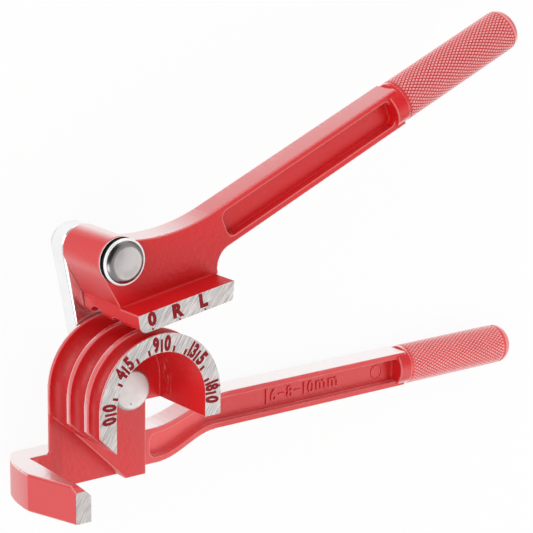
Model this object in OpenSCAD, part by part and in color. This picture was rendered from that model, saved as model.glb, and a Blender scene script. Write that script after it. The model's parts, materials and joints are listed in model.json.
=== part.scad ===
// Hand tube bender for three tube sizes, lying on its back with the scale upwards.
// X runs along the forming handle, Y across the handles, Z up from the bench.
// The bend axis is the Z axis, and the tail of the die pin stands on the bench at the origin.

/* [Tubes] */
// Outer diameter of the smallest tube
tube_small = 6; // [5:0.5:7]
// Outer diameter of the middle tube
tube_mid = 8; // [7:0.5:9]
// Outer diameter of the largest tube
tube_large = 10; // [9:0.5:11]
// Radius from the bend axis to the centre line of every tube
bend_r = 22; // [20:0.5:26]

/* [Die] */
// Land in front of the small groove
land_front = 0.9; // [0.6:0.1:2]
// Land between the small and the middle groove
land_small_mid = 2.3; // [1.5:0.1:3]
// Land between the middle and the large groove
land_mid_large = 1.9; // [1.5:0.1:3]
// Land behind the large groove
land_back = 1.4; // [1:0.1:3]
// Step from that land down to the plate below the die
plate_step = 0.3; // [0.2:0.1:0.8]
// Width of the scale ring on the die's face
ring_w = 5.8; // [5.6:0.1:7]
// Thickness of the recess floor that carries the die pin
floor_t = 6; // [4:0.5:9]
// Straight run of the grooves below the 0 mark
lead_in = 7.2; // [5:0.2:9]
// Straight run of the grooves below the 180 mark
run_out = 7.3; // [5:0.2:9]
// Distance from the bend axis to the leg's outer side
leg_x = 10.6; // [9:0.2:13]

/* [Base and hook] */
// Depth of the base below the bend axis
base_drop = 32.2; // [30:0.2:38]
// Height of the hook and of the base behind it
hook_h = 12; // [9:0.5:14]
// Thickness of the hook's arm at its tip
hook_t = 5.3; // [4:0.1:7]
// Thickness of the hook's arm where it meets the base
hook_root_t = 8.6; // [5:0.1:10]
// Play between the hook and the small tube
hook_play_front = 0.4; // [0.2:0.1:1]
// Play between the hook and the large tube
hook_play_back = 1; // [0.4:0.1:1.6]
// Width of the outer curve where the hook turns forwards, along the base
hook_corner_w = 8; // [5:0.5:9]
// Length of that curve along the hook's arm
hook_corner_l = 20; // [10:0.5:24]
// Bevel along the inner edge of the hook's arm, measured at its tip
hook_bevel = 3.8; // [1:0.1:5]
// Bevel at the tip of the hook
hook_nose = 2; // [0.5:0.1:3]

/* [Forming handle] */
// Height of the forming handle's beam
beam_h = 12.1; // [11:0.1:14]
// Distance from the bend axis to the forming handle's axis
beam_drop = 19.3; // [18:0.1:21]
// Where the neck's upper edge starts to rise
neck_top_start = 18; // [15:1:24]
// Where the neck's upper edge meets the beam
neck_top_end = 48; // [44:1:56]
// Where the neck's lower edge starts to rise
neck_low_start = 20; // [16:1:24]
// Where the neck's lower edge meets the beam
neck_low_end = 43; // [40:1:50]
// Distance from the bend axis to the end of the forming beam
forming_beam_end = 125.6; // [110:0.2:140]
// Diameter of the forming handle's grip
forming_grip_d = 14; // [12:0.2:16]
// Distance from the bend axis to the end of the forming grip
forming_grip_end = 176.5; // [160:0.5:195]

/* [Shoe handle] */
// Radius of the boss around the handle pin
boss_r = 7.3; // [6.6:0.1:8.4]
// Setback of the boss's side from the shoe's rear end
heel_inset = 0.3; // [0.2:0.1:1]
// Distance from the handle pin's axis to the shoe's working face
shoe_drop = 21; // [20:0.2:22]
// Height of the shoe
shoe_h = 6; // [4.5:0.5:8]
// Reach of the shoe behind the handle pin
shoe_back = 2.4; // [1:0.2:4]
// Length of the shoe ahead of the handle pin
shoe_front = 33.5; // [28:0.5:38]
// Slope of the shoe's front end across its height
shoe_end_slope = 1.6; // [0:0.2:3]
// Radius of the shoe's lower rear corner
shoe_corner_r = 2.5; // [1:0.5:4]
// Depth of the ledge in front of the shoe handle's web
ledge_d = 10; // [8:0.5:13]
// Height of the shoe handle's beam
arm_h = 12.9; // [10:0.1:14]
// Angle of the shoe handle's beam to the shoe
arm_angle = 14.2; // [10:0.2:18]
// Distance from the handle pin's axis to the beam's centre line
arm_drop = 10.9; // [10:0.1:13]
// Where the beam leaves the neck, measured along it from the handle pin
arm_start = 36; // [34:0.5:40]
// Where the beam ends, measured along it from the handle pin
arm_end = 115; // [100:0.5:130]
// Radius of the hollow upper edge of the neck
neck_r = 61; // [50:1:75]
// Reach of the neck past the shoe's front end
neck_lip = 1; // [0:0.2:3]
// Radius of the fillet under the neck
throat_r = 7; // [5:0.5:8]
// Diameter of the shoe handle's grip
shoe_grip_d = 14.4; // [12:0.2:16]
// Where the grip ends, measured along it from the handle pin
shoe_grip_end = 170.3; // [150:0.1:185]

/* [Both handles] */
// Thickness of both beams, front to back
beam_t = 9.4; // [8:0.2:11]
// Thickness of the web between the two pockets of a beam
web_t = 3.4; // [2:0.2:5]
// Width of the rim around a pocket
rim_w = 2; // [1.4:0.1:2.6]
// Length of the solid end between a pocket and its grip
beam_end_t = 3.5; // [2:0.5:5]
// Radius of the pockets' corners
pocket_r = 2.5; // [1:0.5:3.5]
// Rounding of the grips' ends
grip_end_r = 3; // [1:0.5:5]
// Width of the relief groove between a beam's end and its grip
relief_w = 0.5; // [0.4:0.1:1]
// Depth of that groove
relief_d = 0.3; // [0.2:0.1:0.6]

/* [Link and pins] */
// Distance between the two pins
link_l = 44.8; // [44.4:0.1:47]
// Width of the link
link_w = 14; // [12:0.5:16]
// Thickness of the link
link_t = 7; // [5:0.5:8]
// Diameter of both pins' shanks
pin_d = 8; // [7:0.5:9]
// Diameter of the die pin's head
die_head_d = 13.4; // [12.6:0.2:16]
// Height of the die pin's head
die_head_h = 8.8; // [5:0.2:14]
// Diameter of the handle pin's head
handle_head_d = 14.5; // [13:0.5:16]
// Height of the handle pin's head
handle_head_h = 4; // [2:0.5:6]
// Chamfer around both heads
head_chamfer = 0.9; // [0.3:0.1:1.2]
// Thickness of the spacers between the castings and the link
spacer_t = 0.4; // [0.3:0.1:1]
// Outer diameter of the spacers and the back washers
washer_d = 12; // [11:0.2:13]
// Thickness of the back washers
washer_t = 0.8; // [0.6:0.1:1.2]
// Outer diameter of the retaining collars
collar_d = 10.8; // [10:0.2:12]
// Thickness of the retaining collars
collar_t = 1.2; // [1:0.1:2]
// Length of each pin below its collar
tail_l = 0.8; // [0.6:0.1:1.4]

/* [Fits and rest pose] */
// Radial clearance of a pin in a casting
run_fit = 0.05; // [0.02:0.01:0.1]
// Radial clearance of a pin in the link and the rings riveted to it
rivet_fit = 0.02; // [0.01:0.01:0.05]
// Radial clearance of a pin in its spacer
ring_fit = 0.1; // [0.05:0.05:0.3]
// Axial play on each side of a turning face
end_play = 0.05; // [0.02:0.01:0.1]
// Gap between the shoe handle's back and the forming handle as they cross
pass_gap = 0.5; // [0.3:0.1:1]
// Angle of the link from the X axis as the bender lies
link_angle = 101; // [95:0.5:150]
// Slope of the shoe as the bender lies
shoe_angle = 9.4; // [8:0.2:60]

/* [Hidden] */
$fn = 96;
// Overlap that joins the pieces of one casting and carries a cut through a face
eps = 0.5;
enamel = "#c4232b";
steel = "#c9cbce";

// Levels above the bench
collar_z = tail_l;
washer_z = collar_z + collar_t;
link_z = washer_z + washer_t;
spacer_z = link_z + link_t + end_play;
back_z = spacer_z + spacer_t + end_play;
plate_z = back_z + land_back - plate_step;
large_z = back_z + land_back + tube_large / 2;
mid_z = large_z + tube_large / 2 + land_mid_large + tube_mid / 2;
small_z = mid_z + tube_mid / 2 + land_small_mid + tube_small / 2;
face_z = small_z + tube_small / 2 + land_front;
floor_z = back_z + floor_t;
beam_top_z = back_z - pass_gap;
beam_low_z = beam_top_z - beam_t;
web_top_z = face_z - ledge_d;
web_low_z = web_top_z - beam_t;

GROOVES = [[tube_small, small_z], [tube_mid, mid_z], [tube_large, large_z]];
ring_r = bend_r - ring_w;
pocket_d = (beam_t - web_t) / 2;
beam_high = beam_h / 2 - beam_drop;
beam_low = -beam_h / 2 - beam_drop;
base_top = hook_h - base_drop;
// The shoe's grooves are centred where the tubes run when link and shoe are square
shoe_groove_drop = link_l - bend_r;
ledge_y = shoe_h - shoe_drop;

// Places a shape in the shoe handle's own frame, with the handle pin on its origin
module at_handle_pin() {
    rotate(link_angle)
    translate([link_l, 0, 0])
    rotate(shoe_angle - link_angle)
    children();
}

// A ring of given bore and size
module ring(bore_d, outer_d, height) {
    difference() {
        cylinder(d = outer_d, h = height);
        translate([0, 0, -eps])
        cylinder(d = bore_d, h = height + 2 * eps);
    }
}

// Half of an S curve from one point to another, level at both ends
function rise(from, to, steps = 12) = [
    for (i = [0 : steps])
        [from.x + (to.x - from.x) * i / steps, from.y + (to.y - from.y) * (1 - cos(180 * i / steps)) / 2]
];

function reversed(list) = [for (i = [len(list) - 1 : -1 : 0]) list[i]];

function arc(centre, radius, start, end, steps = 12) = [
    for (i = [0 : steps])
        let (a = start + (end - start) * i / steps) centre + radius * [cos(a), sin(a)]
];

// A rectangle with round corners, of true arcs
module round_rect(low, high, radius) {
    r = min(radius, (high.x - low.x - eps) / 2, (high.y - low.y - eps) / 2);
    translate([low.x + r, low.y])
    square([high.x - low.x - 2 * r, high.y - low.y]);
    translate([low.x, low.y + r])
    square([high.x - low.x, high.y - low.y - 2 * r]);
    for (x = [low.x + r, high.x - r], y = [low.y + r, high.y - r])
        translate([x, y])
        circle(r);
}

// A round grip along +X with a rounded far end, and a collar in the beam's end before a relief groove
module grip(diameter, beam_end, to) {
    r = min(grip_end_r, diameter / 2 - eps);
    from = beam_end - beam_end_t;
    relief = beam_end_t + relief_w;
    translate([from, 0, 0])
    rotate([0, 90, 0])
    rotate_extrude() {
        square([diameter / 2 - relief_d, relief + eps]);
        square([diameter / 2, beam_end_t]);
        translate([0, relief])
        square([diameter / 2, to - from - r - relief]);
        square([diameter / 2 - r, to - from]);
        translate([diameter / 2 - r, to - from - r])
        intersection() {
            circle(r);
            square(r + eps);
        }
    }
}

// The side of the die seen from the front: an arch over two straight legs
module arch(radius, left_l, right_l) {
    intersection() {
        circle(radius);
        translate([-radius, 0])
        square([2 * radius, radius]);
    }
    translate([-radius, -left_l])
    square([radius, left_l]);
    translate([0, -right_l])
    square([radius, right_l]);
}

// Section of the die's rim in X and Z, with half of each tube let into its outer side
module rim_section() {
    difference() {
        translate([ring_r, back_z])
        square([ring_w, face_z - back_z]);
        for (groove = GROOVES)
            translate([bend_r, groove[1]])
            circle(d = groove[0]);
    }
}

// The rim goes half round the bend axis and then straight down on both sides
module rim() {
    rotate_extrude(angle = 180)
    rim_section();
    rotate([90, 0, 0])
    linear_extrude(run_out)
    rim_section();
    mirror([1, 0, 0])
    rotate([90, 0, 0])
    linear_extrude(base_drop)
    rim_section();
}

// Die with its hollow face, floor and leg, cut off slantwise below the 0 mark
module die() {
    difference() {
        union() {
            rim();
            translate([0, 0, back_z])
            linear_extrude(floor_t) {
                arch(ring_r + eps, base_drop, run_out);
                translate([-ring_r, -base_drop])
                square([ring_r + leg_x, base_drop]);
            }
        }
        translate([-bend_r, -lead_in, plate_z])
        rotate(-45)
        translate([-bend_r, -2 * base_drop, 0])
        cube([4 * base_drop, 2 * base_drop, face_z]);
        cylinder(d = pin_d + 2 * run_fit, h = face_z);
    }
}

// Base under the die, which turns forwards at its end as the hook that holds the tube
module base_and_hook() {
    inner_front = -bend_r - tube_small / 2 - hook_play_front;
    inner_back = -bend_r - tube_large / 2 - hook_play_back;
    corner = [inner_back - hook_root_t + hook_corner_w, link_z + hook_corner_l];
    side = concat(
        [[inner_front, face_z], [inner_front - hook_t, face_z]],
        [for (p = arc([0, 0], 1, 180, 270)) corner + [hook_corner_w * p.x, hook_corner_l * p.y]],
        [[leg_x, link_z], [leg_x, plate_z], [inner_back, plate_z]]
    );
    difference() {
        translate([0, base_top, 0])
        rotate([90, 0, 0])
        linear_extrude(hook_h)
        polygon(side);
        translate([inner_front - hook_bevel, base_top, plate_z])
        rotate(-45)
        translate([-base_drop, 0, 0])
        cube([2 * base_drop, base_drop, face_z]);
        translate([inner_back - base_drop, base_top - hook_nose, face_z])
        rotate([45, 0, 0])
        translate([0, 0, -base_drop])
        cube([2 * base_drop, base_drop, 2 * base_drop]);
    }
}

// Outline of the forming handle's neck and beam, or of its pocket, drawn in by a margin
module forming_outline(margin, from, to) {
    r = margin > 0 ? pocket_r : 0;
    low = concat(
        arc([from + r, margin - base_drop + r], r, 180, 270, 6),
        rise([neck_low_start, margin - base_drop], [neck_low_end, beam_low + margin]),
        [[to, beam_low + margin]]
    );
    high = concat(
        arc([from + r, base_top - margin - r], r, 180, 90, 6),
        rise([neck_top_start, base_top - margin], [neck_top_end, beam_high - margin]),
        [[to, beam_high - margin]]
    );
    polygon(concat(low, reversed(high)));
}

module forming_beam() {
    difference() {
        translate([0, 0, beam_low_z])
        linear_extrude(beam_t)
        forming_outline(0, leg_x - eps, forming_beam_end);
        for (z = [beam_low_z - eps, beam_top_z - pocket_d])
            translate([0, 0, z])
            linear_extrude(pocket_d + eps)
            forming_outline(rim_w, leg_x + 3 * rim_w, forming_beam_end - beam_end_t);
    }
}

module forming_handle() {
    color(enamel) {
        die();
        base_and_hook();
        forming_beam();
        translate([0, -beam_drop, beam_top_z - beam_t / 2])
        grip(forming_grip_d, forming_beam_end, forming_grip_end);
    }
}

// Shoe with its rounded rear corner and sloping front end
module shoe() {
    translate([0, 0, back_z])
    linear_extrude(face_z - back_z)
    polygon(concat(
        [[-shoe_back, ledge_y]],
        arc([shoe_corner_r - shoe_back, shoe_corner_r - shoe_drop], shoe_corner_r, 180, 270, 6),
        [[shoe_front - shoe_end_slope, -shoe_drop], [shoe_front, ledge_y]]
    ));
}

// Boss around the handle pin, whose rear side runs down into the shoe and whose front becomes a rib
module boss() {
    rib_start = -30;
    rib_x = 2 * boss_r;
    heel = [heel_inset - shoe_back, ledge_y];
    left = atan2(heel.y, heel.x) - acos(boss_r / norm(heel));
    side = boss_r * [cos(left), sin(left)];
    translate([0, 0, back_z])
    linear_extrude(web_top_z - back_z)
    polygon(concat(
        arc([0, 0], boss_r, 360 + left, rib_start, 40),
        [[rib_x, ledge_y - eps], heel + (heel - side) * eps / (side.y - heel.y)]
    ));
}

// Plate from the boss to the end of the beam, hollowed above and below by round cuts
module plate() {
    along = [cos(arm_angle), sin(arm_angle)];
    up = [-along.y, along.x];
    low = (-arm_drop - arm_h / 2) * up;
    high = (-arm_drop + arm_h / 2) * up;
    hollow = arm_start * along + high + neck_r * up;
    throat_x = shoe_front + neck_lip + throat_r;
    throat_y = (throat_x - low.x) * tan(arm_angle) + low.y - throat_r / cos(arm_angle);
    foot_y = min(ledge_y, throat_y) - eps;
    translate([0, 0, web_low_z])
    linear_extrude(beam_t)
    polygon(concat(
        [[0, foot_y], [shoe_front + neck_lip, foot_y]],
        arc([throat_x, throat_y], throat_r, 180, 90 + arm_angle),
        [arm_end * along + low, arm_end * along + high],
        arc(hollow, neck_r, arm_angle - 90, -90 - asin(hollow.x / neck_r), 24)
    ));
}

// Pockets in the front and back of the shoe handle's beam
module arm_pockets() {
    rotate(arm_angle)
    translate([0, -arm_drop, 0])
    for (z = [web_low_z - eps, web_top_z - pocket_d])
        translate([0, 0, z])
        linear_extrude(pocket_d + eps)
        round_rect(
            [arm_start + rim_w, rim_w - arm_h / 2],
            [arm_end - beam_end_t, arm_h / 2 - rim_w], pocket_r
        );
}

module shoe_handle() {
    color(enamel)
    at_handle_pin()
    difference() {
        union() {
            shoe();
            boss();
            plate();
            rotate(arm_angle)
            translate([0, -arm_drop, web_top_z - beam_t / 2])
            grip(shoe_grip_d, arm_end, shoe_grip_end);
        }
        arm_pockets();
        for (groove = GROOVES)
            translate([-2 * shoe_back - boss_r, -shoe_groove_drop, groove[1]])
            rotate([0, 90, 0])
            cylinder(d = groove[0], h = 2 * shoe_front);
        translate([0, 0, back_z - eps])
        cylinder(d = pin_d + 2 * run_fit, h = face_z);
    }
}

// Flat strap with round ends, behind both castings
module link() {
    color(steel)
    rotate(link_angle)
    translate([0, 0, link_z])
    linear_extrude(link_t)
    difference() {
        union() {
            for (x = [0, link_l])
                translate([x, 0])
                circle(d = link_w);
            translate([0, -link_w / 2])
            square([link_l, link_w]);
        }
        for (x = [0, link_l])
            translate([x, 0])
            circle(d = pin_d + 2 * rivet_fit);
    }
}

// Pin with a chamfered head, standing on the bench
module pin(head_z, head_d, head_h) {
    color(steel) {
        cylinder(d = pin_d, h = head_z + eps);
        translate([0, 0, head_z])
        cylinder(d = head_d, h = head_h - head_chamfer);
        translate([0, 0, head_z + head_h - head_chamfer])
        cylinder(d1 = head_d, d2 = head_d - 2 * head_chamfer, h = head_chamfer);
    }
}

module die_pin() {
    pin(floor_z + 2 * end_play, die_head_d, die_head_h);
}

module handle_pin() {
    at_handle_pin()
    pin(web_top_z + 2 * end_play, handle_head_d, handle_head_h);
}

module spacer() {
    color(steel)
    translate([0, 0, spacer_z])
    ring(pin_d + 2 * ring_fit, washer_d, spacer_t);
}

module back_washer() {
    color(steel)
    translate([0, 0, washer_z])
    ring(pin_d + 2 * rivet_fit, washer_d, washer_t);
}

module collar() {
    color(steel)
    translate([0, 0, collar_z])
    ring(pin_d + 2 * rivet_fit, collar_d, collar_t);
}

forming_handle();
shoe_handle();
link();
die_pin();
handle_pin();
spacer();  // die_spacer
at_handle_pin() spacer();  // handle_spacer
back_washer();  // die_back_washer
at_handle_pin() back_washer();  // handle_back_washer
collar();  // die_collar
at_handle_pin() collar();  // handle_collar
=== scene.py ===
# %% [markdown]
# # A hand tube bender
#
# The bender lies on its back. One red casting holds the grooved die, the hook and the lower grip,
# a second one holds the shoe and the upper grip, and a plated link joins them between two pins.
# The CAD solids have the right sizes but knife-sharp edges, so the castings are softened here,
# the grips get their knurl, and every surface gets its finish.

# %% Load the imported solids
import json
import math

import bmesh
import bpy
from mathutils import Matrix, Vector


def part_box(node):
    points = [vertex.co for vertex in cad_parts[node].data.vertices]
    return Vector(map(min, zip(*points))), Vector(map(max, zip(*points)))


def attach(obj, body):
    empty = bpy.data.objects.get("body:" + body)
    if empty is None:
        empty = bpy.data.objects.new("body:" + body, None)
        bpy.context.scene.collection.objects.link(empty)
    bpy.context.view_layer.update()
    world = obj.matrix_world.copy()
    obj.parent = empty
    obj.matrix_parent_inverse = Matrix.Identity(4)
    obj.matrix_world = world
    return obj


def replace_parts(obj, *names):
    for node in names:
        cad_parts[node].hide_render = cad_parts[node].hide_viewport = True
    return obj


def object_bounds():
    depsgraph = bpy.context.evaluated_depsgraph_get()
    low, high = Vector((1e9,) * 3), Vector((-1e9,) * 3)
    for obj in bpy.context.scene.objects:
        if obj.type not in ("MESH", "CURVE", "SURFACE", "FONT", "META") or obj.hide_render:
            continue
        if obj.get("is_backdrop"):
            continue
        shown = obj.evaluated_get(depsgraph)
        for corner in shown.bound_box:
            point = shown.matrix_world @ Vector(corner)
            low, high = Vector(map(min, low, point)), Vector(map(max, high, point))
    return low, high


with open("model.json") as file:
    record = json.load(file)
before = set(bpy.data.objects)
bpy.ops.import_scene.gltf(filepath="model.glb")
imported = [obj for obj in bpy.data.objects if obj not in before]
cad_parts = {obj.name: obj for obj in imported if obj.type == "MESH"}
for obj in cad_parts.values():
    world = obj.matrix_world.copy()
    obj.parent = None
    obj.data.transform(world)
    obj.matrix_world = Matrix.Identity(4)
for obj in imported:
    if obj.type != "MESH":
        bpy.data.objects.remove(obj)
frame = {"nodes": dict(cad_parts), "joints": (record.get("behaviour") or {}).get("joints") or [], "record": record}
cad_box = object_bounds()
MM = 0.001
print("nodes:", sorted(frame["nodes"]))

# %% [markdown]
# ## The camera
#
# The photograph is close to a telephoto view. Its direction, roll and distance were measured from
# the round scale ring and the straight edges, so the camera is set from those figures and not by
# eye.

# %% Camera
VIEW_TURN, VIEW_LIFT, VIEW_ROLL = (math.radians(a) for a in (37.57, 14.47, 0.85))
EYE = Vector((-0.3232, 0.1906, 0.5119))
scene = bpy.context.scene
backwards = Vector((
    -math.sin(VIEW_TURN) * math.cos(VIEW_LIFT),
    math.sin(VIEW_LIFT),
    math.cos(VIEW_TURN) * math.cos(VIEW_LIFT),
))
right = Vector((math.cos(VIEW_TURN), 0, math.sin(VIEW_TURN)))
up = backwards.cross(right)
lens = bpy.data.cameras.new("camera")
lens.sensor_width = 36
lens.lens = 133.9
lens.clip_start = 0.01
camera = bpy.data.objects.new("camera", lens)
camera.matrix_world = (
    Matrix.Translation(EYE)
    @ Matrix((right, up, backwards)).transposed().to_4x4()
    @ Matrix.Rotation(VIEW_ROLL, 4, "Z")
)
scene.collection.objects.link(camera)
scene.camera = camera
print("camera", round(EYE.length, 3), "m from the die pin")

# %% [markdown]
# ## Writing node trees as sums
#
# A finish is easier to read as arithmetic than as a list of links. `Wire` stands for one socket:
# adding or multiplying wires adds Math nodes, and `add` makes any other node.
# The same class serves the materials and the Geometry Nodes.


# %% Wire, a socket that takes part in Python sums
class Wire:
    def __init__(self, tree, socket):
        self.tree, self.socket = tree, socket

    def maths(self, operation, *others):
        values = dict(enumerate((self, *others)))
        return add(self.tree, "ShaderNodeMath", {"operation": operation}, values)

    def __add__(self, other):
        return self.maths("ADD", other)

    def __sub__(self, other):
        return self.maths("SUBTRACT", other)

    def __rsub__(self, other):
        return self * -1 + other

    def __mul__(self, other):
        return self.maths("MULTIPLY", other)

    def __truediv__(self, other):
        return self.maths("DIVIDE", other)

    def __mod__(self, other):
        return self.maths("MODULO", other)

    __radd__ = __add__
    __rmul__ = __mul__


def add(tree, kind, settings=None, values=None, output=0):
    """Add a node: its settings, then the values or wires of its sockets; returns one output."""
    node = tree.nodes.new(kind)
    for name, value in (settings or {}).items():
        setattr(node, name, value)
    for key, value in (values or {}).items():
        if isinstance(value, Wire):
            tree.links.new(value.socket, node.inputs[key])
        else:
            node.inputs[key].default_value = value
    return Wire(tree, node.outputs[output])


print("wires ready")


# %% Patterns and masks
def split(tree, where):
    """The X, Y and Z of a place, as three wires."""
    axes = add(tree, "ShaderNodeSeparateXYZ", values={"Vector": where})
    return [Wire(tree, socket) for socket in axes.socket.node.outputs]


def mix_colour(tree, mask, first, second):
    return add(tree, "ShaderNodeMix", {"data_type": "RGBA"}, {0: mask, 6: first, 7: second}, 2)


def noise(tree, where, scale, detail=2):
    values = {"Vector": where, "Scale": scale, "Detail": detail}
    return add(tree, "ShaderNodeTexNoise", values=values)


def between(value, low, high):
    """0 below low, 1 above high, and a smooth change between them."""
    return add(value.tree, "ShaderNodeMapRange", {"interpolation_type": "SMOOTHSTEP"},
               {"Value": value, "From Min": low, "From Max": high})


def bump(tree, height, strength, distance):
    values = {"Height": height, "Strength": strength, "Distance": distance}
    return add(tree, "ShaderNodeBump", values=values)


print("patterns ready")


# %% Start a finish
def new_finish(name):
    """A material with its shader and its Object coordinates."""
    finish = bpy.data.materials.new(name)
    finish.use_nodes = True
    tree = finish.node_tree
    shader = tree.nodes["Principled BSDF"]
    where = add(tree, "ShaderNodeTexCoord", output=3)
    return finish, tree, shader, where


def connect(shader, values):
    """Set or link the shader's sockets by name."""
    for name, value in values.items():
        if isinstance(value, Wire):
            value.tree.links.new(value.socket, shader.inputs[name])
        else:
            shader.inputs[name].default_value = value


print("finish helpers ready")

# %% [markdown]
# ## Red enamel
#
# The castings are sprayed with a semi-gloss enamel that follows the sand-cast skin below it, so
# the surface is finely grained, and it mirrors the white room where it is seen at a flat angle.
# The Layer Weight node mixes in that sheet of gloss. Faces that look straight up lose most of it,
# because they would turn white in low views. The convex edges are painted pale, partly worn paint
# and partly a painted highlight. The castings carry both kinds of place as attributes, see below.

# %% Red enamel
FULL_RED = (0.72, 0.010, 0.013, 1)
THIN_RED = (0.62, 0.006, 0.008, 1)
# Pale pink of worn paint, also used for painted highlights and painted sheen.
WORN_AND_HIGHLIGHT_RED = (0.90, 0.40, 0.40, 1)
FRONT_MATT = 0.8


def attribute(tree, name):
    return add(tree, "ShaderNodeAttribute", {"attribute_name": name}, output=2)


def unworn(tree, where):
    return 0.0


def red_enamel(name, wear, gloss, reds=(THIN_RED, FULL_RED), dull=unworn, light_and_shade=()):
    """Enamel with masks of where it is worn or has a painted highlight, where it is dull,
    and where painted light or shade changes its red.

    gloss is the facing at which the mirroring sheet starts, where it is full, and its share.
    """
    finish, tree, shader, where = new_finish(name)
    skin = noise(tree, where, 620, 4)
    patches = noise(tree, where, 90, 3)
    grained = bump(tree, skin, 0.9, 0.14 * MM)
    coat = mix_colour(tree, patches, *reds)
    # Each mask here paints light or shade into the red.
    for mask, tint in light_and_shade:
        coat = mix_colour(tree, mask(tree, where), coat, tint)
    connect(shader, {
        "Base Color": mix_colour(tree, wear(tree, where), coat, WORN_AND_HIGHLIGHT_RED),
        "Roughness": 0.32 + 0.16 * patches,
        "Normal": grained,
    })
    sheet = add(tree, "ShaderNodeBsdfPrincipled", values={
        "Base Color": (1, 0.97, 0.97, 1), "Metallic": 1.0, "Roughness": 0.35, "Normal": grained
    })
    start, full, share = gloss
    facing = add(tree, "ShaderNodeLayerWeight", values={"Blend": 0.5}, output=1)
    front = between(attribute(tree, "front"), 0.6, 0.9)
    polish = (1 - dull(tree, where)) * (1 - FRONT_MATT * front)
    surface = add(tree, "ShaderNodeMixShader", values={
        0: between(facing, start, full) * share * polish,
        1: Wire(tree, shader.outputs[0]),
        2: sheet,
    })
    tree.links.new(surface.socket, tree.nodes["Material Output"].inputs["Surface"])
    return finish


legend_enamel = red_enamel("legend_enamel", unworn, (0.48, 0.76, 0.6))
print("finish:", legend_enamel.name)

# %% [markdown]
# A casting isn't the same red all over. The hook's outer side is duller and carries a painted sheen,
# the neck carries painted light, and tubes have rubbed the gloss off the die. Its grooves are painted
# darker as painted shade and its recess paler as painted light, with scuffs near the recess's floor,
# where the pin's tool ran along the wall. Each such place is a mask: a function of the place on the
# casting that gives 0 to 1.


# %% Masks of the hook, the neck and the edges
# A paler red, painted light on the neck and on the lower grip.
PAINTED_LIGHT_RED = (0.95, 0.12, 0.12, 1)
FORMING_LOW, FORMING_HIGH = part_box("forming_handle")
HOOK_H = 12 * MM
HOOK_TOP = FORMING_LOW.y + HOOK_H


# Convex edges painted pale: partly worn paint, partly a painted highlight.
def edge_wear_and_highlight(tree, where):
    return between(attribute(tree, "convex"), 0.05, 0.22) * 0.4


def hook_side(tree, where):
    x, y, _ = split(tree, where)
    outside = 1 - between(x, -27 * MM, -25.5 * MM)
    return outside * (1 - between(y, HOOK_TOP - 1.0 * MM, HOOK_TOP - 0.3 * MM))


# A painted sheen on the hook's outer side.
def painted_sheen_hook(tree, where):
    return hook_side(tree, where) * 0.17


# Painted light on the neck, which the die shades.
def painted_light_neck(tree, where):
    x, _, z = split(tree, where)
    along = between(x, 6 * MM, 13 * MM) * (1 - between(x, 34 * MM, 48 * MM))
    return along * (1 - between(z, 9 * MM, 11 * MM)) * 0.7


print("hook's top at", round(HOOK_TOP / MM, 2), "mm")

# %% Masks of the die
# A darker red, painted shade in the die's grooves and on the shoe's web.
PAINTED_SHADE_RED = (0.46, 0.004, 0.006, 1)
# A brighter red, painted light in the die's recess.
RECESS_LIGHT_RED = (0.79, 0.010, 0.013, 1)
RECESS_WALL = (16.6 * MM, 17.4 * MM)
RECESS_FLOOR = (16.6 * MM, 17.4 * MM)


def die_depth(tree, where):
    """Distance from the bend axis, or sideways from it below, and a mask of the die's height."""
    x, y, z = split(tree, where)
    rise = y.maths("MAXIMUM", 0)
    return (x * x + rise * rise).maths("SQRT"), between(z, 9 * MM, 13 * MM)


def rubbed_die(tree, where):
    depth, on_die = die_depth(tree, where)
    rubbed = on_die * (1 - between(depth, 20.8 * MM, 21.8 * MM)) * 0.9
    return rubbed.maths("MAXIMUM", hook_side(tree, where) * 0.8)


# Painted shade in the die's grooves.
def painted_shade_grooves(tree, where):
    depth, on_die = die_depth(tree, where)
    below_lands = 1 - between(depth, 20.4 * MM, 21.6 * MM)
    return on_die * between(depth, 17.0 * MM, 18.0 * MM) * below_lands * 0.5


# Painted light in the die's recess.
def painted_light_recess(tree, where):
    depth, on_die = die_depth(tree, where)
    above_base = between(split(tree, where)[1], -9 * MM, -5 * MM)
    return on_die * (1 - between(depth, *RECESS_WALL)) * above_base


# Scuff streaks on the recess wall, together with the edges' wear and painted highlight.
def scuffs_and_edge_highlight(tree, where):
    x, y, z = split(tree, where)
    wall = 1 - between((x * x + y * y).maths("SQRT"), *RECESS_WALL)
    near_floor = between(z, *RECESS_FLOOR) * (1 - between(z, 20.0 * MM, 24.0 * MM))
    around = add(tree, "ShaderNodeMapping", values={"Vector": where, "Scale": (1, 0.2, 1)})
    streaks = between(noise(tree, around, 1100, 3), 0.52, 0.66) * between(x, 9 * MM, 13 * MM)
    return edge_wear_and_highlight(tree, where).maths("MAXIMUM", streaks * wall * near_floor * 0.7)


forming_enamel = red_enamel(
    "forming_enamel", scuffs_and_edge_highlight, (0.32, 0.72, 0.95), dull=rubbed_die, light_and_shade=(
        (painted_shade_grooves, PAINTED_SHADE_RED), (painted_light_recess, RECESS_LIGHT_RED), (painted_light_neck, PAINTED_LIGHT_RED),
        (painted_sheen_hook, WORN_AND_HIGHLIGHT_RED),
    ))
print("finish:", forming_enamel.name)

# %% [markdown]
# The shoe handle is dull from its shoe to the start of the beam. Its web between boss and beam is
# painted darker as painted shade, and its boss paler as a painted highlight.


# %% Masks of the shoe handle
def rubbed_shoe(tree, where):
    return 0.95 - 0.95 * between(split(tree, where)[1], 38 * MM, 50 * MM)


# Painted shade on the web between boss and beam.
def painted_shade_web(tree, where):
    x, y, _ = split(tree, where)
    web = between(y, 31 * MM, 33 * MM) * (1 - between(y, 40 * MM, 58 * MM))
    return web * between(x, -10 * MM, -2 * MM) * 0.45


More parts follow.
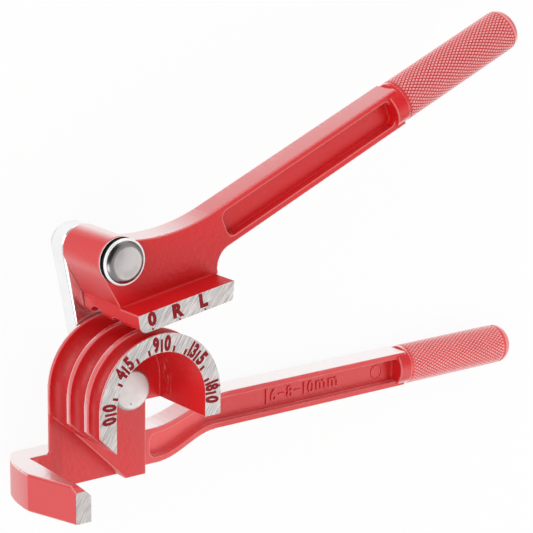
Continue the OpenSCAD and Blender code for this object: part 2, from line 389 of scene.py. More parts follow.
# A painted highlight on the left of the boss.
def painted_highlight_boss(tree, where):
    x, y, _ = split(tree, where)
    return (1 - between(x, -17 * MM, -9 * MM)) * between(y, 30 * MM, 40 * MM) * 0.14


shoe_enamel = red_enamel(
    "shoe_enamel", edge_wear_and_highlight, (0.46, 0.76, 0.78), dull=rubbed_shoe, light_and_shade=(
        (painted_shade_web, PAINTED_SHADE_RED), (painted_highlight_boss, WORN_AND_HIGHLIGHT_RED),
    ))
connect(shoe_enamel.node_tree.nodes["Principled BSDF"], {"Specular IOR Level": 0.3})
print("finish:", shoe_enamel.name)

# %% [markdown]
# ## Milled faces
#
# The scale ring, the hook's end and the shoe's face are milled after painting, so they show bare
# aluminium with the cutter's fine parallel lines. Noise that is stretched along one direction
# gives them.

# %% Milled aluminium
LINE_DARK, LINE_BRIGHT = (0.27, 0.25, 0.245, 1), (0.50, 0.47, 0.46, 1)
LINE_STRETCH = 22


def milled_aluminium(name, angle):
    finish, tree, shader, where = new_finish(name)
    along = add(tree, "ShaderNodeMapping", {"vector_type": "TEXTURE"}, {
        "Vector": where, "Rotation": (0, 0, math.radians(angle)), "Scale": (LINE_STRETCH, 1, 1)
    })
    lines = noise(tree, along, 4500, 3)
    smear = noise(tree, where, 260, 3)
    connect(shader, {
        "Base Color": mix_colour(tree, between(lines, 0.34, 0.66), LINE_DARK, LINE_BRIGHT),
        "Metallic": 0.8,
        "Roughness": 0.36 + 0.22 * smear,
        "Normal": bump(tree, lines, 0.35, 0.03 * MM),
    })
    return finish


ring_metal = milled_aluminium("milled_ring", 58)
shoe_metal = milled_aluminium("milled_shoe", 50)
print("finishes:", ring_metal.name, shoe_metal.name)

# %% [markdown]
# ## The castings
#
# A casting has no sharp edges. Bevelling a triangulated CAD mesh with grooves and pockets goes
# wrong in its corners, so a copy is remeshed into small voxels and smoothed, which rounds every
# edge as sand and paint do. A small tree then marks what the enamel asks for: how convex the
# surface is, and how far it looks up.


# %% Mark convex edges and faces that look up
def new_tree(name, inputs):
    tree = bpy.data.node_groups.new(name, "GeometryNodeTree")
    for title, kind in inputs:
        tree.interface.new_socket(title, in_out="INPUT", socket_type=kind)
    tree.interface.new_socket("Geometry", in_out="OUTPUT", socket_type="NodeSocketGeometry")
    source = tree.nodes.new("NodeGroupInput")
    return tree, {title: Wire(tree, source.outputs[title]) for title, _ in inputs}


def end_tree(geometry):
    end = geometry.tree.nodes.new("NodeGroupOutput")
    geometry.tree.links.new(geometry.socket, end.inputs[0])


def stored(tree, geometry, name, value):
    """The geometry with a number stored on its points."""
    return add(tree, "GeometryNodeStoreNamedAttribute", {"data_type": "FLOAT", "domain": "POINT"}, {
        "Geometry": geometry, "Name": name, "Value": value
    })


paint_places, given = new_tree("paint_places", [("Geometry", "NodeSocketGeometry")])
bend = add(paint_places, "GeometryNodeInputMeshEdgeAngle", output=1)
convex = add(paint_places, "GeometryNodeBlurAttribute", {"data_type": "FLOAT"}, {
    "Value": bend, "Iterations": 1
})
edged = stored(paint_places, given["Geometry"], "convex", convex)
upwards = split(paint_places, add(paint_places, "GeometryNodeInputNormal"))[2]
end_tree(stored(paint_places, edged, "front", upwards))
print("paint tree has", len(paint_places.nodes), "nodes")


# %% Cut, bake and hand over
def cut(bm, place, direction):
    """Cut away what lies beyond a plane and close the cut; returns the closing faces."""
    everything = bm.verts[:] + bm.edges[:] + bm.faces[:]
    rim = bmesh.ops.bisect_plane(
        bm, geom=everything, plane_co=place, plane_no=direction, clear_outer=True)
    edges = [e for e in rim["geom_cut"] if isinstance(e, bmesh.types.BMEdge)]
    closing = bmesh.ops.triangle_fill(bm, edges=edges, use_beauty=True, normal=direction)
    return [f for f in closing["geom"] if isinstance(f, bmesh.types.BMFace)]


def helper(name, data):
    piece = bpy.data.objects.new(name, data)
    scene.collection.objects.link(piece)
    return piece


def baked(piece):
    """The mesh that a helper object's modifiers give; the helper is then thrown away."""
    evaluated = piece.evaluated_get(bpy.context.evaluated_depsgraph_get())
    mesh = bpy.data.meshes.new_from_object(evaluated)
    bpy.data.objects.remove(piece)
    return mesh


def as_mesh(name, bm):
    """A new mesh of a bmesh, which is then freed."""
    mesh = bpy.data.meshes.new(name)
    bm.to_mesh(mesh)
    bm.free()
    return mesh


def finished(name, mesh, body, slot, *materials):
    """Make a piece of a mesh that is already in its place, and let it ride on a body."""
    for material in materials:
        mesh.materials.append(material)
    piece = helper(name, mesh)
    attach(piece, body)
    print(name, "has", sum(len(p.vertices) - 2 for p in mesh.polygons), "triangles")
    return piece


print("mesh helpers ready")

# %% [markdown]
# In the solids a collar stands proud at each grip's root, behind a narrow relief groove. Paint has
# filled the groove, and the collar lies flush between the beam's flanges, so the points there are
# moved before the remesh. The grip itself is cut off, because the knurl is a piece of its own.

# %% Fill the relief and trim the collar
RELIEF = 0.5 * MM
RELIEF_DEPTH = 0.3 * MM
COLLAR = 3.5 * MM
NEAR = 0.01 * MM


def flush_collar(bm, start, along, radius, height):
    """Fill the relief groove, and trim the grip's collar to the height of its beam."""
    across = Vector((0, 0, 1)).cross(along)
    for vert in bm.verts:
        reach = (vert.co - start).dot(along)
        spoke = vert.co - start - along * reach
        in_relief = abs(reach + RELIEF / 2) < RELIEF / 2 + NEAR
        if in_relief and abs(spoke.length + RELIEF_DEPTH - radius) < 3 * NEAR:
            vert.co += spoke.normalized() * RELIEF_DEPTH
        off = (vert.co - start).dot(across)
        if -COLLAR - RELIEF - NEAR < reach < NEAR - RELIEF and abs(off) > height / 2:
            vert.co += across * (math.copysign(height / 2, off) - off)


print("collars are", COLLAR / MM, "mm long")

# %% [markdown]
# The milled faces are left proud before the remesh, and are cut flat after it, which makes their
# edges crisp again.

# %% Blanks of the castings
FACE_Z = FORMING_HIGH.z
ALLOWANCE = 1.2 * MM
STUB = 1.2 * MM
WELD = 0.001 * MM


def blank_mesh(node, grip, height):
    """A copy of a CAD node with proud milled faces and a stub in place of its grip."""
    bm = bmesh.new()
    bm.from_mesh(frame["nodes"][node].data)
    bmesh.ops.remove_doubles(bm, verts=bm.verts, dist=WELD)
    faces = [f for f in bm.faces if all(abs(v.co.z - FACE_Z) < NEAR for v in f.verts)]
    raised = bmesh.ops.extrude_face_region(bm, geom=faces)["geom"]
    lifted = [v for v in raised if isinstance(v, bmesh.types.BMVert)]
    bmesh.ops.translate(bm, verts=lifted, vec=(0, 0, ALLOWANCE))
    along = Vector(grip["axis"])
    start = Vector(grip["pos_m"]) - along * grip["dims"]["length_mm"] * MM / 2
    flush_collar(bm, start, along, grip["dims"]["r_mm"] * MM, height)
    cut(bm, start + along * STUB, along)
    return as_mesh(node + "_rough", bm)


print("milled faces at", round(FACE_Z / MM, 2), "mm, left", ALLOWANCE / MM, "mm proud")

# %% Soften a blank
GRAIN = 0.27 * MM


def softened(node, rough):
    """The blank remeshed, smoothed, thinned and marked for its paint."""
    blank = helper(node + "_blank", rough)
    remesh = blank.modifiers.new("voxels", "REMESH")
    remesh.mode = "VOXEL"
    remesh.voxel_size = GRAIN
    soften = blank.modifiers.new("soften", "SMOOTH")
    soften.factor = 0.5
    soften.iterations = 2
    thin = blank.modifiers.new("thin", "DECIMATE")
    thin.ratio = 0.3
    marked = blank.modifiers.new("marked", "NODES")
    marked.node_group = paint_places
    return baked(blank)


print("voxels of", GRAIN / MM, "mm")

# %% Castings with milled faces
MOUNTS = {mount["name"]: mount for mount in frame["record"]["mounts"]}
FORMING_BEAM_H, SHOE_BEAM_H = 12.1 * MM, 12.9 * MM


def casting(node, grip, height, paint, metal):
    bm = bmesh.new()
    bm.from_mesh(softened(node, blank_mesh(node, grip, height)))
    for face in bm.faces:
        face.smooth = True
    for face in cut(bm, (0, 0, FACE_Z), (0, 0, 1)):
        face.material_index = 1
        face.smooth = False
        for edge in face.edges:
            edge.smooth = False
    mesh = as_mesh(node, bm)
    piece = finished(node + "_casting", mesh, node, "red_enamel", paint, metal)
    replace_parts(piece, node)


casting("forming_handle", MOUNTS["forming_grip"], FORMING_BEAM_H, forming_enamel, ring_metal)
casting("shoe_handle", MOUNTS["shoe_grip"], SHOE_BEAM_H, shoe_enamel, shoe_metal)

# %% [markdown]
# ## The knurled grips
#
# Rolling a knurl presses two sets of spiral lines into a bar, which leaves rows of small diamonds.
# The rows follow a rule, so Geometry Nodes place them: a point for each diamond, every other row
# turned by half a step, and a four-sided cone with a flat top on each point. They stand on a
# turned core.


# %% Knurl tree
def vector(tree, operation, values, output=0):
    return add(tree, "ShaderNodeVectorMath", {"operation": operation}, values, output)


def painted(tree, instances, material):
    """Instances as a plain mesh of one material."""
    mesh = add(tree, "GeometryNodeRealizeInstances", values={"Geometry": instances})
    return add(tree, "GeometryNodeSetMaterial", values={"Geometry": mesh, "Material": material})


knurl, size = new_tree("knurl", [
    ("Around", "NodeSocketInt"), ("Rows", "NodeSocketInt"), ("Start", "NodeSocketFloat"),
    ("Row Pitch", "NodeSocketFloat"), ("Radius", "NodeSocketFloat"), ("Depth", "NodeSocketFloat"),
    ("Flat", "NodeSocketFloat"), ("Material", "NodeSocketMaterial"),
])
index = add(knurl, "GeometryNodeInputIndex")
row = (index / size["Around"]).maths("FLOOR")
column = index - row * size["Around"]
turn = (column + (row % 2) * 0.5) * math.tau / size["Around"]
outwards = add(knurl, "ShaderNodeCombineXYZ", values={
    "Y": turn.maths("COSINE"), "Z": turn.maths("SINE")
})
on_bar = vector(knurl, "SCALE", {"Vector": outwards, "Scale": size["Radius"]})
along_bar = add(knurl, "ShaderNodeCombineXYZ", values={
    "X": size["Start"] + row * size["Row Pitch"]
})
points = add(knurl, "GeometryNodePoints", values={
    "Count": size["Around"] * size["Rows"],
    "Position": vector(knurl, "ADD", {0: on_bar, 1: along_bar}),
})
diamond = add(knurl, "GeometryNodeMeshCone", values={
    "Vertices": 4, "Radius Top": size["Flat"], "Radius Bottom": 1.0, "Depth": 1.0
})
stood = add(knurl, "FunctionNodeAxesToRotation", {"primary_axis": "Z", "secondary_axis": "X"}, {
    "Primary Axis": outwards, "Secondary Axis": (1, 0, 0)
})
spread = add(knurl, "ShaderNodeCombineXYZ", values={
    "X": size["Row Pitch"], "Y": size["Radius"] * math.pi / size["Around"], "Z": size["Depth"]
})
diamonds = add(knurl, "GeometryNodeInstanceOnPoints", values={
    "Points": points, "Instance": diamond, "Rotation": stood, "Scale": spread
})
end_tree(painted(knurl, diamonds, size["Material"]))
print("knurl tree has", len(knurl.nodes), "nodes")

# %% Turned shapes and run trees
ROUND_STEPS = 96
CREASE = math.radians(35)


def curve(centre, radius, start, end, steps=8):
    """Points of an arc in a turned profile, as radius and height."""
    turns = [math.radians(start + (end - start) * i / steps) for i in range(steps + 1)]
    return [(centre[0] + radius * math.cos(a), centre[1] + radius * math.sin(a)) for a in turns]


def turned(name, profile, steps=ROUND_STEPS):
    """A mesh of a profile of radius and height, turned about Z."""
    bm = bmesh.new()
    ends = [bm.verts.new((r, 0, z)) for r, z in profile]
    line = [bm.edges.new(pair) for pair in zip(ends, ends[1:])]
    bmesh.ops.spin(
        bm, geom=ends + line, axis=(0, 0, 1), angle=math.tau, steps=steps, use_merge=True)
    bmesh.ops.remove_doubles(bm, verts=bm.verts, dist=WELD)
    bmesh.ops.recalc_face_normals(bm, faces=bm.faces)
    for face in bm.faces:
        face.smooth = True
    for edge in bm.edges:
        edge.smooth = edge.calc_face_angle(0) < CREASE
    return as_mesh(name, bm)


def run_tree(tree, name, values):
    """Run a tree on an empty helper object and return its plain mesh."""
    maker = helper(name, bpy.data.meshes.new(name))
    nodes = maker.modifiers.new("nodes", "NODES")
    nodes.node_group = tree
    for socket in tree.interface.items_tree:
        if socket.in_out == "INPUT":
            nodes[socket.identifier] = values[socket.name]
    return baked(maker)


def joined(name, *meshes):
    """One mesh of several, which keep their material slots' numbers."""
    bm = bmesh.new()
    for mesh in meshes:
        bm.from_mesh(mesh)
    return as_mesh(name, bm)


print("round shapes have", ROUND_STEPS, "sides")

# %% [markdown]
# The knurl's crests are painted pale, partly rubbed paint and partly a painted highlight, so the
# mask is of the distance from the grip's axis. The lower grip is painted paler, as painted light.

# %% Mask of the crests' wear and painted highlight
KNURL_DEPTH = 0.42 * MM
FADE = 2.4 * MM


def crest_wear_and_highlight(mount):
    """A mask of pale paint on a grip's crests, partly wear and partly a painted highlight,
    by their distance from its axis.
    """
    axis = tuple(mount["axis"])
    radius, length = mount["dims"]["r_mm"] * MM, mount["dims"]["length_mm"] * MM

    def mask(tree, where):
        arm = vector(tree, "SUBTRACT", {0: where, 1: tuple(mount["pos_m"])})
        reach = vector(tree, "DOT_PRODUCT", {0: arm, 1: axis}, 1)
        on_axis = vector(tree, "SCALE", {"Vector": axis, "Scale": reach})
        off_axis = vector(tree, "LENGTH", {0: vector(tree, "SUBTRACT", {0: arm, 1: on_axis})}, 1)
        knurled = between(reach, FADE * 0.6 - length / 2, FADE * 1.2 - length / 2)
        return between(off_axis, radius - KNURL_DEPTH, radius) * knurled * 0.9

    return mask


print("knurl is", KNURL_DEPTH / MM, "mm deep")

# %% Turned core of a grip
END_R = 3.0 * MM
ROOT = 0.3 * MM
PLAIN = 0.06 * MM


def grip_core(name, radius, length):
    """A bar with a plain root that runs out into the knurl's valley, and a rounded end."""
    valley, crest = radius - KNURL_DEPTH, radius - PLAIN
    core = turned(name, (
        [(0, ROOT), (valley, ROOT), (crest, 2 * ROOT), (crest, FADE / 2), (valley, FADE)]
        + [(valley, length - 0.4 * MM)]
        + curve((radius - 0.1 * MM - END_R, length), END_R, 0, 90)
        + [(0, length + END_R)]
    ))
    core.transform(Matrix.Rotation(math.pi / 2, 4, "Y"))
    return core


print("grips end in a radius of", END_R / MM, "mm")

# %% Grips
VALLEY_RED = (0.64, 0.006, 0.008, 1)
KNURL_AROUND = 36
KNURL_PITCH = 1.05 * MM
KNURL_START = 0.3 * MM
DIAMOND_FLAT = 0.5


def grip(name, mount, body, reds):
    radius, length = mount["dims"]["r_mm"] * MM, mount["dims"]["length_mm"] * MM
    paint = red_enamel(name + "_enamel", crest_wear_and_highlight(mount), (0.46, 0.80, 0.7), reds)
    diamonds = run_tree(knurl, name + "_knurl", {
        "Around": KNURL_AROUND, "Rows": int((length - KNURL_START) / KNURL_PITCH) - 1,
        "Start": KNURL_START + KNURL_PITCH, "Row Pitch": KNURL_PITCH,
        "Radius": radius - KNURL_DEPTH, "Depth": KNURL_DEPTH, "Flat": DIAMOND_FLAT,
        "Material": paint,
    })
    along = Vector(mount["axis"])
    place = Matrix((along, Vector((0, 0, 1)).cross(along), (0, 0, 1))).transposed().to_4x4()
    place.translation = Vector(mount["pos_m"]) - along * length / 2
    mesh = joined(name, grip_core(name, radius, length), diamonds)
    mesh.transform(place)
    finished(name, mesh, body, "red_enamel", paint)


grip("forming_grip", MOUNTS["forming_grip"], "forming_handle", (FULL_RED, PAINTED_LIGHT_RED))
grip("shoe_grip", MOUNTS["shoe_grip"], "shoe_handle", (VALLEY_RED, FULL_RED))

# %% [markdown]
# ## The scale
#
# The ring is stamped every 15 degrees and the stamps are filled with dark red paint. The ticks
# follow a rule, so Geometry Nodes place them, a long one at each third step. The figures stand on
# both sides of their long tick. They are text that is made a mesh, each turned to face the middle
# of the ring.

# %% Stamped paint
STAMP_DARK, STAMP_WORN = (0.22, 0.004, 0.008, 1), (0.36, 0.015, 0.02, 1)


def stamped_paint():
    finish, tree, shader, where = new_finish("stamped_paint")
    worn = noise(tree, where, 1500, 3)
    connect(shader, {
        "Base Color": mix_colour(tree, between(worn, 0.40, 0.72), STAMP_DARK, STAMP_WORN),
        "Roughness": 0.60 + 0.25 * worn,
        "Specular IOR Level": 0.2,
        "Normal": bump(tree, worn, 0.3, 0.03 * MM),
    })
    return finish


scale_paint = stamped_paint()
print("finish:", scale_paint.name)

# %% Tick tree
ticks, size = new_tree("scale_ticks", [
    ("Count", "NodeSocketInt"), ("Step", "NodeSocketFloat"), ("Inner Radius", "NodeSocketFloat"),
    ("Long", "NodeSocketFloat"), ("Short", "NodeSocketFloat"), ("Width", "NodeSocketFloat"),
    ("Thickness", "NodeSocketFloat"), ("Level", "NodeSocketFloat"),
    ("Material", "NodeSocketMaterial"),
])
index = add(ticks, "GeometryNodeInputIndex")
turn = math.pi - index * size["Step"]
is_short = (index % 3).maths("MINIMUM", 1)
length = size["Long"] - is_short * (size["Long"] - size["Short"])
outwards = add(ticks, "ShaderNodeCombineXYZ", values={
    "X": turn.maths("COSINE"), "Y": turn.maths("SINE")
})
middle = vector(ticks, "SCALE", {
    "Vector": outwards, "Scale": size["Inner Radius"] + length * 0.5
})
level = add(ticks, "ShaderNodeCombineXYZ", values={"Z": size["Level"]})
points = add(ticks, "GeometryNodePoints", values={
    "Count": size["Count"],
    "Position": vector(ticks, "ADD", {0: middle, 1: level}),
})
bar = add(ticks, "GeometryNodeMeshCube", values={"Size": (1, 1, 1)})
stood = add(ticks, "FunctionNodeAxesToRotation", {"primary_axis": "X", "secondary_axis": "Z"}, {
    "Primary Axis": outwards, "Secondary Axis": (0, 0, 1)
})
spread = add(ticks, "ShaderNodeCombineXYZ", values={
    "X": length, "Y": size["Width"], "Z": size["Thickness"]
})
bars = add(ticks, "GeometryNodeInstanceOnPoints", values={
    "Points": points, "Instance": bar, "Rotation": stood, "Scale": spread
})
end_tree(painted(ticks, bars, size["Material"]))
print("tick tree has", len(ticks.nodes), "nodes")

# %% Flat marks
PAINT_T = 0.05 * MM
MARK_Z = FACE_Z + PAINT_T / 4


def figure(text, height, narrow, weight=0.06, thickness=PAINT_T):
    """Text as a mesh of a given height that is centred on its own middle and lies in X and Y."""
    outline = bpy.data.curves.new("figure", "FONT")
    outline.body = text
    outline.offset = weight
    outline.extrude = 0.5
    outline.resolution_u = 4
    mesh = baked(helper("figure", outline))
    low = Vector(min(v.co[i] for v in mesh.vertices) for i in range(3))
    high = Vector(max(v.co[i] for v in mesh.vertices) for i in range(3))
    mesh.transform(Matrix.Translation((low + high) / -2))
    grow = height / (high.y - low.y)
    mesh.transform(Matrix.Diagonal((grow * narrow, grow, thickness, 1)))
    return mesh


def dot(radius):
    half = PAINT_T / 2
    return turned("dot", [(0, -half), (radius, -half), (radius, half), (0, half)], 16)


def upright(x, y, turn):
    """Where a flat mark goes on the milled faces, and the angle of its upright from Y."""
    return Matrix.Translation((x, y, MARK_Z)) @ Matrix.Rotation(math.radians(turn), 4, "Z")


print("marks lie at", round(MARK_Z / MM, 2), "mm")

# %% Ticks and figures
RING_INNER = FORMING_HIGH.y - 5.8 * MM
FIGURE_H = 5.1 * MM
FIGURE_R = RING_INNER + 2.75 * MM
FIGURE_NARROW = 0.68
PAIR_NARROW, PAIR_PITCH = 0.60, 1.6
BEFORE_ONE, BEFORE_PAIR, AFTER = -2.05, -1.8, 2.15
SCALE_FIGURES = (
    (0, "0", "0"), (45, "4", "5"), (90, "9", "0"), (135, "13", "5"), (180, "18", "0"),
)


def ring_figure(sign, degrees, offset, narrow):
    """A figure beside the tick at an angle of the scale, by an offset in mm along the ring."""
    angle = 180 - degrees - math.degrees(offset * MM / FIGURE_R)
    x, y = (FIGURE_R * way(math.radians(angle)) for way in (math.cos, math.sin))
    mark = figure(sign, FIGURE_H, narrow)
    mark.transform(upright(x, y, angle - 90))
    return mark


marks = [run_tree(ticks, "ticks", {
    "Count": 13, "Step": math.radians(15), "Inner Radius": RING_INNER + 0.1 * MM,
    "Long": 4.05 * MM, "Short": 1.9 * MM, "Width": 0.80 * MM, "Thickness": PAINT_T,
    "Level": MARK_Z, "Material": scale_paint,
})]
for degrees, before, after in SCALE_FIGURES:
    one = len(before) == 1
    nearest, narrow = (BEFORE_ONE, FIGURE_NARROW) if one else (BEFORE_PAIR, PAIR_NARROW)
    for place, sign in enumerate(reversed(before)):
        marks.append(ring_figure(sign, degrees, nearest - PAIR_PITCH * place, narrow))
    marks.append(ring_figure(after, degrees, AFTER, FIGURE_NARROW))
stray = dot(0.3 * MM)
stray.transform(upright(21.6 * MM, 1.87 * MM, 0))
scale = joined("scale_marks", *marks, stray)
finished("scale_marks", scale, "forming_handle", "red_enamel", scale_paint)

# %% [markdown]
# ## The shoe's marks and the cast legend
#
# Three marks on the shoe's face show where to read the scale: 0 for the start, and one for each
# side of the tube that is measured. The lower handle's pocket carries the tube sizes as raised
# cast figures.

# %% Shoe marks
SHOE_TURN = 9.4
SHOE_FIGURE_H = 4.6 * MM
SHOE_DOT_R = 0.34 * MM
SHOE_MARKS = (
    ("0", (-3.5, 27.3), (-3.2, 24.1)),
    ("R", (5.9, 28.5), (6.6, 25.6)),
    ("L", (15.3, 30.2), (16.0, 27.2)),
)
marks = []
for sign, place, dot_place in SHOE_MARKS:
    mark = figure(sign, SHOE_FIGURE_H, 1.0)
    mark.transform(upright(place[0] * MM, place[1] * MM, SHOE_TURN))
    point = dot(SHOE_DOT_R)
    point.transform(upright(dot_place[0] * MM, dot_place[1] * MM, 0))
    marks += [mark, point]
finished("shoe_marks", joined("shoe_marks", *marks), "shoe_handle", "red_enamel", scale_paint)

# %% Cast legend
POCKET_Z = 6.8 * MM
LEGEND_T = 0.8 * MM
LEGEND_NARROW = 0.9
FIGURE_TALL, LETTER_TALL = 4.4 * MM, 3.2 * MM
HANDLE_Y = MOUNTS["forming_grip"]["pos_m"][1]
LEGEND_SIGNS = (("6", 69.0), ("8", 76.0), ("1", 82.3), ("0", 85.2), ("m", 89.6), ("m", 95.0))
LEGEND_BARS = ((65.9, 0.4, 5.4), (72.4, 2.6, 0.4), (79.3, 2.6, 0.4))
legend = []
for sign, x in LEGEND_SIGNS:
    tall = LETTER_TALL if sign == "m" else FIGURE_TALL
    mark = figure(sign, tall, LEGEND_NARROW, 0.0, LEGEND_T)
    mark.transform(Matrix.Translation((x * MM, HANDLE_Y, POCKET_Z)))
    legend.append(mark)
for x, width, height in LEGEND_BARS:
    bm = bmesh.new()
    bmesh.ops.create_cube(bm, size=1)
    bmesh.ops.scale(bm, vec=(width * MM, height * MM, LEGEND_T), verts=bm.verts)
    bmesh.ops.translate(bm, vec=(x * MM, HANDLE_Y, POCKET_Z), verts=bm.verts)
    legend.append(as_mesh("bar", bm))
ejector = turned("ejector", curve((2.4 * MM, 0), 0.16 * MM, 0, 360, 10), 48)
ejector.transform(Matrix.Translation((114.6 * MM, HANDLE_Y, POCKET_Z + 0.05 * MM)))
legend.append(ejector)
mesh = joined("cast_legend", *legend)
finished("cast_legend", mesh, "forming_handle", "red_enamel", legend_enamel)

# %% [markdown]
# ## Link and pins
#
# The link is a plated strap with rounded edges. A stadium shape keeps its form when it is drawn
# in, so the strap is a stack of stadiums. The pins are turned parts, so each is a profile that is
# spun: the die pin's head is slightly domed, and the handle pin's face is a low dome inside a
# rim. The rim's pale finish is a painted highlight, and the near-black side below it is dark oxide
# and painted shade.


# %% Steel finishes
def bright_steel(name, shade, roughness, wear, metallic=1.0):
    finish, tree, shader, where = new_finish(name)
    smudge = noise(tree, where, 180, 4)
    grain = noise(tree, where, 3000, 2)
    smudged = tuple(c * wear for c in shade[:3]) + (1,)
    connect(shader, {
        "Base Color": mix_colour(tree, between(smudge, 0.35, 0.7), shade, smudged),
        "Metallic": metallic,
        "Roughness": roughness + 0.12 * smudge,
        "Normal": bump(tree, grain, 0.08, 0.02 * MM),
    })
    return finish


plating = bright_steel("plated_link", (0.95, 0.95, 0.96, 1), 0.20, 0.96)
die_pin_face = bright_steel("satin_pin", (0.56, 0.53, 0.52, 1), 0.46, 0.90)
pin_face = bright_steel("turned_pin", (0.24, 0.225, 0.22, 1), 0.18, 0.86)
# Pale, barely metallic finish of the pin's rim: a painted highlight.
rim_highlight = bright_steel("painted_highlight_rim", (0.95, 0.95, 0.94, 1), 0.35, 0.97, 0.3)
# Near-black side band: dark oxide and painted shade; also the die pin's dark speck.
dark_oxide_and_shade = bright_steel("dark_oxide_and_painted_shade", (0.030, 0.026, 0.025, 1), 0.30, 0.6)
ring_steel = bright_steel("zinc_rings", (0.62, 0.62, 0.60, 1), 0.30, 0.85)
print("steel finishes ready")

# %% Link
HANDLE_PIN = Vector(frame["joints"][1]["pos_m"])
LINK_R = 7.0 * MM
LINK_EDGE = 1.1 * MM
link_low, link_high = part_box("link")[0].z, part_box("link")[1].z


def stadium(radius, height, steps=24):
    """Outline around both pins at one height."""
    across = Vector((0, 0, 1)).cross(HANDLE_PIN).normalized()
    onwards = HANDLE_PIN.normalized()
    outline = []
    for centre, start in ((HANDLE_PIN, 0), (Vector(), math.pi)):
        for i in range(steps + 1):
            a = start + math.pi * i / steps
            spoke = math.cos(a) * -across + math.sin(a) * onwards
            outline.append(centre + radius * spoke + Vector((0, 0, height)))
    return outline


edge = curve((LINK_R - LINK_EDGE, LINK_EDGE), LINK_EDGE, -90, 0, 5)
layers = [(r, link_low + h) for r, h in edge] + [(r, link_high - h) for r, h in reversed(edge)]
bm = bmesh.new()
rings = [[bm.verts.new(p) for p in stadium(r, z)] for r, z in layers]
for low, high in zip(rings, rings[1:]):
    for i in range(len(low)):
        bm.faces.new((low[i - 1], low[i], high[i], high[i - 1]))
bm.faces.new(rings[0])
bm.faces.new(rings[-1])
bmesh.ops.recalc_face_normals(bm, faces=bm.faces)
for face in bm.faces:
    face.smooth = True
mesh = as_mesh("link_strap", bm)
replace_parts(finished("link_strap", mesh, "link", "steel", plating), "link")

# %% Die pin
SHANK_R = 4.0 * MM
TAIL_EDGE = 0.5 * MM


def pin(name, node, place, head, bands, *finishes):
    """A pin of a rounded tail, a shank and a head.

    Each band gives a finish by its number, from a height and a radius on.
    """
    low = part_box(node)[0].z
    tail = [
        (0, low), (SHANK_R - TAIL_EDGE, low), (SHANK_R, low + TAIL_EDGE), (SHANK_R, head[0][1])
    ]
    mesh = turned(name, tail + head)
    for polygon in mesh.polygons:
        for height, radius, number in bands:
            if polygon.center.z > height and polygon.center.xy.length > radius:
                polygon.material_index = number
    mesh.transform(Matrix.Translation((place.x, place.y, 0)))
    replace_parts(finished(name, mesh, "link", "steel", *finishes), node)


DIE_HEAD_R, DIE_HEAD_H, DIE_EDGE = 6.7 * MM, 8.8 * MM, 1.2 * MM
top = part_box("die_pin")[1].z
low = top - DIE_HEAD_H
domed = [(DIE_HEAD_R - 0.2 * MM, low), (DIE_HEAD_R, low + 0.2 * MM)]
domed += curve((DIE_HEAD_R - DIE_EDGE, top - 0.1 * MM - DIE_EDGE), DIE_EDGE, 0, 84, 10)
domed.append((0, top))
pin("domed_die_pin", "die_pin", Vector(), domed, (), die_pin_face)
speck = dot(0.22 * MM)
speck.transform(Matrix.Translation((-0.78 * MM, -4.26 * MM, top - 0.06 * MM)))
finished("die_pin_mark", speck, "link", "steel", dark_oxide_and_shade)

# %% Handle pin
HEAD_R, HEAD_H, DOME_R, DOME_FLAT = 7.25 * MM, 4.0 * MM, 3.2 * MM, 4.4 * MM
NECK_R = HEAD_R - 0.45 * MM
SIDE, RIM = 1, 2
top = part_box("handle_pin")[1].z
low = top - HEAD_H
flange = [(HEAD_R - 0.15 * MM, low), (HEAD_R, low + 0.15 * MM), (HEAD_R, low + 0.4 * MM)]
neck = [(NECK_R, low + 0.55 * MM), (NECK_R, top - 1.75 * MM)]
rim = [
    (HEAD_R, top - 1.6 * MM), (HEAD_R, top - 1.2 * MM),
    (HEAD_R - 0.2 * MM, top - 0.95 * MM), (NECK_R, top - 0.85 * MM),
]
dome = curve((DOME_FLAT, top - DOME_R), DOME_R, 46, 90, 12) + [(0, top)]
bands = (
    (low, HEAD_R - 0.5 * MM, RIM),
    (low + 0.42 * MM, HEAD_R - 0.5 * MM, SIDE),
    (top - 1.74 * MM, HEAD_R - 0.65 * MM, RIM),
)
head = flange + neck + rim + dome
pin("domed_handle_pin", "handle_pin", HANDLE_PIN, head, bands, pin_face, dark_oxide_and_shade, rim_highlight)

# %% [markdown]
# The spacers, washers and collars are plain turned rings, which the CAD already has right. They
# only get a zinc finish.

# %% Rings
for place in ("die", "handle"):
    for ring in ("spacer", "back_washer", "collar"):
        part = frame["nodes"][f"{place}_{ring}"]
        part.data.materials.clear()
        part.data.materials.append(ring_steel)
        print(part.name, "keeps its CAD shape")

# %% [markdown]
# ## Studio
#
# The bender lies on white in even light. The floor shows white to the camera and to reflections,
# and mixes in enough of its lit surface to keep a faint shadow.

# %% Floor
FLOOR_SIZE = 6.0
SHADOW_SHARE = 0.06
bm = bmesh.new()
bmesh.ops.create_grid(bm, x_segments=1, y_segments=1, size=FLOOR_SIZE)
bmesh.ops.translate(bm, vec=(0, 0, FORMING_LOW.z), verts=bm.verts)
bench = helper("bench", as_mesh("bench", bm))
bench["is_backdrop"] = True


def rays(tree):
    """Masks of the rays that the camera sends, that mirrors send, and that pass through glass."""
    return [add(tree, "ShaderNodeLightPath", output=i) for i in (0, 3, 6)]


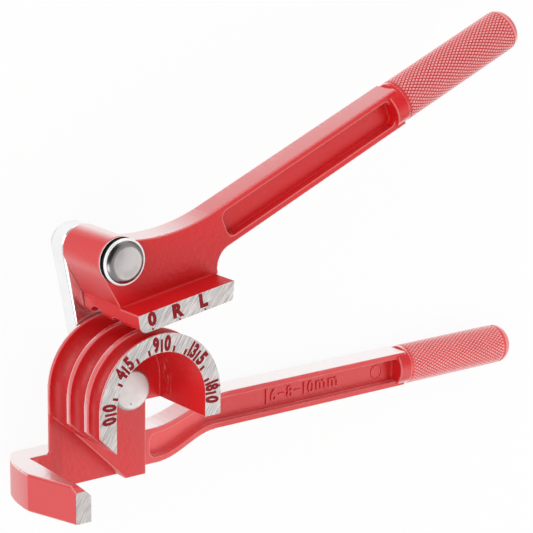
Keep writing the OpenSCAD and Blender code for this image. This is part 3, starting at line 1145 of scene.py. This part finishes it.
bench_paint = bpy.data.materials.new("white_bench")
bench_paint.use_nodes = True
tree = bench_paint.node_tree
tree.nodes.remove(tree.nodes["Principled BSDF"])
to_camera, in_mirror, through = rays(tree)
shown = to_camera.maths("MAXIMUM", in_mirror).maths("MAXIMUM", through)
lit = add(tree, "ShaderNodeBsdfDiffuse", values={"Color": (0.9, 0.9, 0.9, 1)})
white = add(tree, "ShaderNodeEmission", values={"Color": (1, 1, 1, 1), "Strength": 1.0})
surface = add(tree, "ShaderNodeMixShader", values={
    0: shown * (1 - SHADOW_SHARE), 1: lit, 2: white
})
tree.links.new(surface.socket, tree.nodes["Material Output"].inputs["Surface"])
bench.data.materials.append(bench_paint)
print("floor at", round(FORMING_LOW.z / MM, 2), "mm")

# %% [markdown]
# A mirror in a studio doesn't see white all round. The walls are greyer than the ceiling, and the
# side where the camera stands is dark, which the steel and the gloss of the enamel show.

# %% World
AMBIENT = 0.58
DARK_SHARE = 0.95
WALL_SHARE = 0.4
DARK_SIDE = (-0.45, 0.42, 0.79)
world = bpy.data.worlds.new("studio")
scene.world = world
world.use_nodes = True
tree = world.node_tree
to_camera, in_mirror, through = rays(tree)
mirrored = in_mirror.maths("MAXIMUM", through)
direction = add(tree, "ShaderNodeTexCoord")
towards_dark = vector(tree, "DOT_PRODUCT", {0: direction, 1: DARK_SIDE}, 1)
dark_side = between(towards_dark, 0.70, 0.86)
walls = 1 - between(split(tree, direction)[2], 0.30, 0.62)
bright = mirrored * (1 - AMBIENT - walls * WALL_SHARE)
glow = AMBIENT + bright - mirrored * dark_side * DARK_SHARE
backdrop = tree.nodes["Background"]
connect(backdrop, {
    "Color": (1, 1, 1, 1),
    "Strength": to_camera + (1 - to_camera) * glow,
})
print("world gives", AMBIENT, "of white to matt surfaces")

# %% [markdown]
# Four large soft lamps stand to the left, at the left front, at the top and at the right front of
# the picture. They model the forms a little, at a level where colours render as they are written.


# %% Lamps
def soft_lamp(name, place, aim, size, power):
    light = bpy.data.lights.new(name, "AREA")
    light.shape = "SQUARE"
    light.size = size
    light.energy = power
    turn = (Vector(place) - Vector(aim)).to_track_quat("Z", "Y")
    lamp = helper(name, light)
    lamp.matrix_world = Matrix.Translation(place) @ turn.to_matrix().to_4x4()


soft_lamp("left", (-0.85, 0.45, 0.35), (0.05, 0.03, 0), 0.6, 3.2)
soft_lamp("left_front", (-0.60, -0.40, 0.82), (0.0, 0.0, 0), 0.4, 1.6)
soft_lamp("top", (0.35, 0.95, 0.18), (0.05, 0.03, 0), 0.7, 2.2)
soft_lamp("right_front", (0.76, -0.36, 0.70), (0.05, 0.0, 0), 0.75, 3.6)
scene.view_settings.view_transform = "Standard"
print("lamps:", sorted(light.name for light in bpy.data.lights))

# %% [markdown]
# ## Sizes
#
# The visual pieces must stay in the CAD solids' box.

# %% Sizes and end
visual_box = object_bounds()
boxes = {
    "cad": [list(corner) for corner in cad_box],
    "visual": [list(corner) for corner in visual_box],
}
for name, box in boxes.items():
    print(name, "box in mm:", [[round(c / MM, 2) for c in corner] for corner in box])
